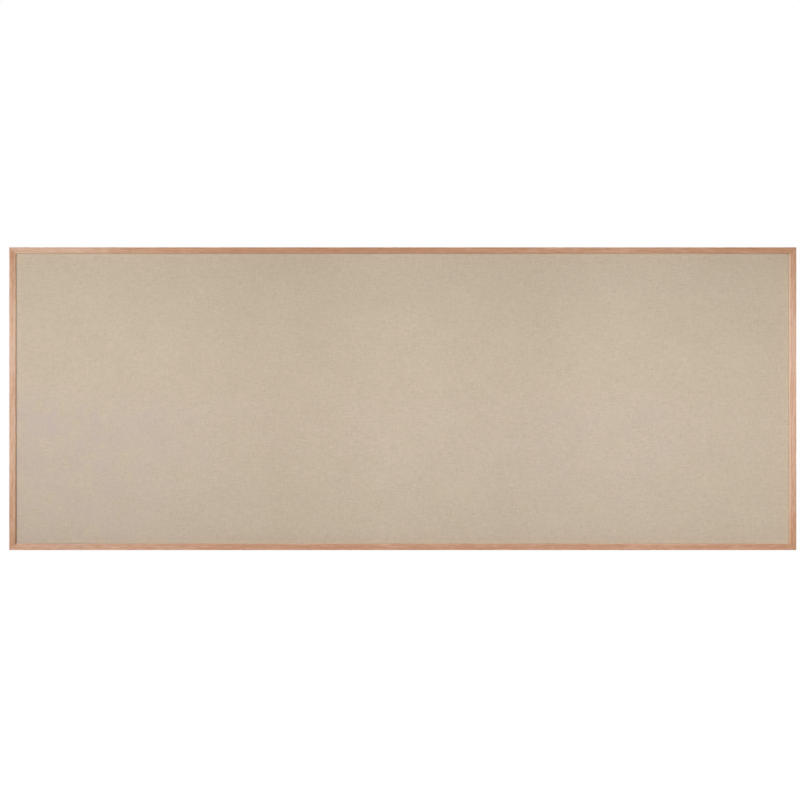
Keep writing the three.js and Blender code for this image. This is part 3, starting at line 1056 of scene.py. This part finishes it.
def countersink(screw_node, near_y, far_y):
    """The rings of the hole for a screw, from the far face, where its head lies, to the near one."""
    low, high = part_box(screw_node)
    x, z = node_middle(screw_node)
    head = (high[0] - low[0]) / 2 + SCREW_CLEARANCE
    shank = SHANK_DIAMETER / 2 + SCREW_CLEARANCE
    ease = PLATE_EASE / 2
    levels = [(head + ease, far_y), (head, far_y - ease), (shank, far_y - head + shank), (shank, near_y)]
    return [(circle(x, z, radius, HOLE_STEPS), y) for radius, y in levels]


def plate(name, node, outline, holes, material):
    """A flat plate in its CAD node's place. outline and the holes' rings lie in X and Z."""
    low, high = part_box(node)
    work = bmesh.new()
    far_rings, near_rings = [], []
    for wall in [eased_wall(outline, low[1], high[1], PLATE_EASE)] + holes:
        rings = [ring_in(work, points, y) for points, y in wall]
        wall_in(work, rings)
        far_rings.append(rings[0])
        near_rings.append(rings[-1])
    fill_in(work, far_rings)
    fill_in(work, near_rings)
    finish_piece(name, settle(work, bpy.data.meshes.new(name)), material, [node])


def corner_plate(corner, material):
    """The flat L over a mitre."""
    node = f"corner_plate_{corner}"
    low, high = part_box(node)
    across = 1 if "right" in corner else -1
    up = 1 if "top" in corner else -1
    near_x, near_z = (high[0] if across > 0 else low[0]), (high[2] if up > 0 else low[2])
    leg = high[0] - low[0]
    width = REAR_FACE_WIDTH - 2 * (HALF_WIDTH - abs(near_x))
    corners = [(0, 0), (leg, 0), (leg, width), (width, width), (width, leg), (0, leg)]
    corners = [(near_x - across * u, near_z - up * v) for u, v in corners]
    outline = rounded(corners, PLATE_CORNER_RADIUS, PLATE_CORNER_STEPS)
    holes = [countersink(f"corner_screw_{corner}_{i}", low[1], high[1]) for i in CORNER_SCREWS]
    plate(f"plate_{corner}", node, outline, holes, material)


KEY_SLOT_WIDTH = 5.2 * MM
KEY_SLOT_STEPS = 12
KEY_ENTRY_DIAMETER = 10 * MM
KEY_ENTRY_STEPS = 20
KEY_RUN = 10 * MM
KEY_MARGIN = 4.5 * MM


def keyhole(x, bottom):
    """The slot that a wall screw slides up into, over its round entry."""
    slot, entry = KEY_SLOT_WIDTH / 2, KEY_ENTRY_DIAMETER / 2
    entry_z = bottom + KEY_MARGIN + entry
    meet = math.degrees(math.asin(slot / entry))
    outline = arc(x, entry_z + KEY_RUN, slot, 180, 0, KEY_SLOT_STEPS)
    return outline + arc(x, entry_z, entry, 90 - meet, meet - 270, KEY_ENTRY_STEPS)


def hanger_plate(where, material):
    """A keyhole plate on the top rail."""
    node = f"hanger_plate_{where}"
    low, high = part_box(node)
    corners = [(low[0], low[2]), (high[0], low[2]), (high[0], high[2]), (low[0], high[2])]
    outline = rounded(corners, PLATE_CORNER_RADIUS, PLATE_CORNER_STEPS)
    holes = [countersink(f"hanger_screw_{where}_{i}", low[1], high[1]) for i in HANGER_SCREWS]
    holes.append(eased_wall(keyhole(node_middle(node)[0], low[2]), low[1], high[1], -PLATE_EASE))
    plate(f"keyhole_{where}", node, outline, holes, material)


POINT_EASE = 0.15 * MM
POINT_TIP_SHARE = 0.3


def panel_point(node, material):
    """A flat steel tab, driven into the rabbet, that holds the panel."""
    low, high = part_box(node)
    centre = Vector(node_middle(node))
    upright = high[2] - low[2] > high[0] - low[0]
    outwards = math.copysign(1, centre.y if upright else centre.x)
    long_half = max(high[0] - low[0], high[2] - low[2]) / 2
    half = min(high[0] - low[0], high[2] - low[2]) / 2
    tip = 2 * half * POINT_TIP_SHARE
    shape = [(-half, -long_half), (half, -long_half), (half, long_half - tip), (half - tip, long_half),
             (tip - half, long_half), (-half, long_half - tip)]
    outline = [centre + Vector((u, v * outwards) if upright else (v * outwards, u)) for u, v in shape]
    wall = eased_wall(outline, low[1], high[1], POINT_EASE)
    name = node.replace("panel_point", "point")
    mesh = lofted(name, [[(point.x, y, point.y) for point in points] for points, y in wall])
    finish_piece(name, mesh, material, [node])


# Screws: countersunk, with a cross recess and a cut thread

SCREW_STEPS = 20
SCREW_EASE = 0.15 * MM
RECESS_SPAN = 3.4 * MM
RECESS_WIDTH = 0.9 * MM
RECESS_DEPTH = 1.1 * MM
RECESS_FLOOR_SPAN_SHARE = 0.45
RECESS_FLOOR_WIDTH_SHARE = 0.7
THREAD_PITCH = 1.3 * MM
THREAD_ROOT_SHARE = 0.7
THREAD_SHARPNESS = 1.5
THREAD_ROWS = 4
TIP_LENGTH = 3 * MM
TIP_RADIUS_SHARE = 0.04
SCREW_SEED = 5


def cross_outline(span_share, width_share):
    half, arm = RECESS_SPAN / 2 * span_share, RECESS_WIDTH / 2 * width_share
    quarter = [(arm, arm), (half, arm), (half, -arm)]
    return [Vector(turned_about_y(u, v, turns)) for turns in range(4) for u, v in quarter]


def thread_radius(depth, share_round, length):
    """The screw's radius that far below its head, a share of a turn round."""
    shank = SHANK_DIAMETER / 2
    phase = (depth / THREAD_PITCH - share_round) % 1.0
    crest = 1 - abs(2 * phase - 1)
    radius = shank * (THREAD_ROOT_SHARE + (1 - THREAD_ROOT_SHARE) * crest ** THREAD_SHARPNESS)
    return radius * max(TIP_RADIUS_SHARE, min(1.0, (length - depth) / TIP_LENGTH))


def thread_ring(depth, length):
    """Points round the thread that far below the screw's head."""
    unit_circle = enumerate(circle(0, 0, 1, SCREW_STEPS))
    return [point * thread_radius(depth, i / SCREW_STEPS, length) for i, point in unit_circle]


def screw_mesh(head, length):
    """A screw on the Y axis: its head's flat face at Y 0, its tip at -length."""
    work = bmesh.new()
    shank = SHANK_DIAMETER / 2
    depth = head - shank
    levels = [(head - SCREW_EASE, 0.0), (head, SCREW_EASE), (shank, depth)]
    rings = [ring_in(work, circle(0, 0, radius, SCREW_STEPS), -level) for radius, level in levels]
    while depth < length:
        depth = min(length, depth + THREAD_PITCH / THREAD_ROWS)
        rings.append(ring_in(work, thread_ring(depth, length), -depth))
    wall_in(work, rings)
    work.faces.new(rings[-1])

    top = ring_in(work, cross_outline(1.0, 1.0), 0.0)
    floor_outline = cross_outline(RECESS_FLOOR_SPAN_SHARE, RECESS_FLOOR_WIDTH_SHARE)
    bottom = ring_in(work, floor_outline, -RECESS_DEPTH)
    wall_in(work, [top, bottom])
    work.faces.new(bottom)
    fill_in(work, [rings[0], top])
    return settle(work, bpy.data.meshes.new("screw"))


def screws(material):
    """All screws share one mesh, and each is turned its own way."""
    nodes = [f"corner_screw_{corner}_{i}" for corner in CORNERS for i in CORNER_SCREWS]
    nodes += [f"hanger_screw_{where}_{i}" for where in HANGERS for i in HANGER_SCREWS]
    random.seed(SCREW_SEED)
    low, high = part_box(nodes[0])
    mesh = screw_mesh((high[0] - low[0]) / 2, high[1] - low[1])
    for node in nodes:
        x, z = node_middle(node)
        screw = finish_piece(node.replace("_screw", "_woodscrew"), mesh, material, [node])
        screw.location = (x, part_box(node)[1][1], z)
        screw.rotation_euler = (0, random.uniform(0, math.pi), 0)


# Wall bumpers

BUMPER_EASE = 0.2 * MM
BUMPER_SHOULDER = 1.2 * MM
BUMPER_SHOULDER_STEPS = 6
BUMPER_DIMPLE = 0.35 * MM
DIMPLE_SHARES = (0.92, 0.8, 0.5, 0.2)
DIMPLE_RIM_SHARE = 0.95
DIMPLE_SLOPE_SHARE = 0.4
BUMPER_STEPS = 40


def bumper_profile(radius, height):
    """A bumper's side and end as (radius, height): straight side, rounded shoulder, shallow dimple."""
    end = radius - BUMPER_SHOULDER
    profile = [(radius - BUMPER_EASE, 0.0), (radius, BUMPER_EASE)]
    profile += arc(end, height - BUMPER_SHOULDER, BUMPER_SHOULDER, 0, 90, BUMPER_SHOULDER_STEPS)
    for share in DIMPLE_SHARES:
        sunk = smoothstep((DIMPLE_RIM_SHARE - share) / DIMPLE_SLOPE_SHARE)
        profile.append((end * share, height - BUMPER_DIMPLE * sunk))
    return profile


def bumper(node, material):
    """A round rubber bumper between the frame and the wall."""
    low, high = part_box(node)
    x, z = node_middle(node)
    rings = []
    for radius, up in bumper_profile((high[0] - low[0]) / 2, high[1] - low[1]):
        rings.append([(p.x, low[1] + up, p.y) for p in circle(x, z, radius, BUMPER_STEPS)])
    name = node.replace("wall_bumper", "bumper")
    finish_piece(name, lofted(name, rings), material, [node])


# Stage and light

WORLD_LEVEL = 0.128
WORLD_FROM_ABOVE = 0.19
WORLD_FROM_RIGHT = 0.28
FLOOR_PALE = srgb(236, 236, 236)
FLOOR_BELOW = 0.9
FLOOR_HALF = 14.0
FLOOR_LIT_SHARE = 0.77
FLOOR_FADE_START = 0.6
FLOOR_FADE_END = 2.6

# Lamps: place, aim, width and height, watts, and for two their spread and roll in degrees
LAMPS = {
    "front_strip": ((0.3, -6.0, 0.04), (0.3, 0, 0.04), (5.8, 0.5), 16.45, 29.5, -3),
    "left_key": ((-4.6, -7.0, 1.6), (0, 0, 0), (1.2, 1.2), 22),
    "left_rake": ((-13, -0.28, 0.6), (1.2, -0.03, 0.1), (0.3, 1), 830),
    "top_rake": ((0.3, -0.28, 11), (0, -0.03, -0.47), (1, 0.3), 455),
    "back_soft": ((1.2, 3.6, 2.0), (0, 0, 0), (2.6, 1.4), 90),
    "back_left": ((-3.4, 2.6, 0.6), (0, 0, 0), (1.4, 1.4), 40),
    "back_right": ((3.8, 1.1, 0.5), (0.4, 0, 0), (1.4, 1.4), 4, 70, 0),
}


def seen_as_backdrop(tree):
    """1 for rays that show the backdrop: straight from the camera, mirrored or passed on."""
    path = add("LightPath", {}, tree).outputs
    seen = maths("MAXIMUM", path["Is Camera Ray"], path["Is Glossy Ray"])
    return maths("MAXIMUM", seen, path["Is Transmission Ray"])


def world():
    """White to look at. Its light on the board comes a little more from above and from the right."""
    sky = bpy.data.worlds.new("studio")
    bpy.context.scene.world = sky
    sky.use_nodes = True
    tree = sky.node_tree
    tree.nodes.clear()
    x, _, z = axes(add("TexCoord", {}, tree).outputs["Generated"])
    from_above = remap(z, 0.0, 1.0, 0.0, WORLD_FROM_ABOVE)
    from_right = remap(x, 0.0, 1.0, 0.0, WORLD_FROM_RIGHT)
    light = total(from_above, from_right, WORLD_LEVEL)
    level = blend(seen_as_backdrop(tree), light, 1.0)
    background = add("Background", {"Color": WHITE, "Strength": level})
    add("OutputWorld", {"Surface": background.outputs[0]})


def floor_material():
    """White to look at but for the shadow that the board throws on it, which fades out further away."""
    material, tree = new_material("studio_floor")
    x, y, _ = axes(place(tree))
    radius = maths("SQRT", total(times(x, x), times(y, y)))
    near = remap(radius, FLOOR_FADE_START, FLOOR_FADE_END, 1.0, 0.0, smooth=True)
    plain = add("BsdfDiffuse", {"Color": FLOOR_PALE}, tree).outputs[0]
    shadowed = add("BsdfDiffuse", {"Color": mix(near, BLACK, FLOOR_PALE)}).outputs[0]
    unlit = maths("SUBTRACT", 1.0, times(near, FLOOR_LIT_SHARE))
    white = add("Emission", {"Color": WHITE, "Strength": unlit}).outputs[0]
    seen = add("AddShader", {0: shadowed, 1: white}).outputs[0]
    final = add("MixShader", {0: seen_as_backdrop(tree), 1: plain, 2: seen})
    add("OutputMaterial", {"Surface": final.outputs[0]})
    return material


def floor():
    level = -HALF_HEIGHT - FLOOR_BELOW
    side = FLOOR_HALF
    corners = [(-side, -side, level), (side, -side, level), (side, side, level), (-side, side, level)]
    mesh = mesh_of("floor", corners, [(0, 1, 2, 3)])
    mesh.materials.append(floor_material())
    ground = bpy.data.objects.new("floor", mesh)
    bpy.context.scene.collection.objects.link(ground)


def area_light(name, location, target, size, power, spread_degrees=180, roll_degrees=0):
    data = bpy.data.lights.new(name, "AREA")
    data.shape = "RECTANGLE"
    data.size, data.size_y = size
    data.energy = power
    data.spread = math.radians(spread_degrees)
    lamp = bpy.data.objects.new(name, data)
    lamp.location = location
    aim = (Vector(target) - Vector(location)).to_track_quat("-Z", "Y")
    lamp.rotation_euler = (aim @ Quaternion((0, 0, 1), math.radians(roll_degrees))).to_euler()
    lamp.visible_camera = False
    bpy.context.scene.collection.objects.link(lamp)


camera()
for turns, side in enumerate(SIDES):
    rail(turns, *side)
eased_board("hardboard_back", "backing_board", HARDBOARD_EASE, hardboard())
eased_board("tack_core", "tack_board", CORE_EASE, fibreboard())
fabric_facing()
plate_metal = zinc(*PLATE_ZINC)
screw_metal = zinc(*SCREW_ZINC)
staples(zinc(*WIRE_ZINC))
for corner_name in CORNERS:
    corner_plate(corner_name, plate_metal)
for hanger_name in HANGERS:
    hanger_plate(hanger_name, plate_metal)
screws(screw_metal)
rubber = bumper_rubber()
for node_name in list(frame["nodes"]):
    if node_name.startswith("panel_point"):
        panel_point(node_name, plate_metal)
    if node_name.startswith("wall_bumper"):
        bumper(node_name, rubber)
world()
floor()
for lamp_name, lamp_settings in LAMPS.items():
    area_light(lamp_name, *lamp_settings)

bpy.context.scene.view_settings.view_transform = "Standard"
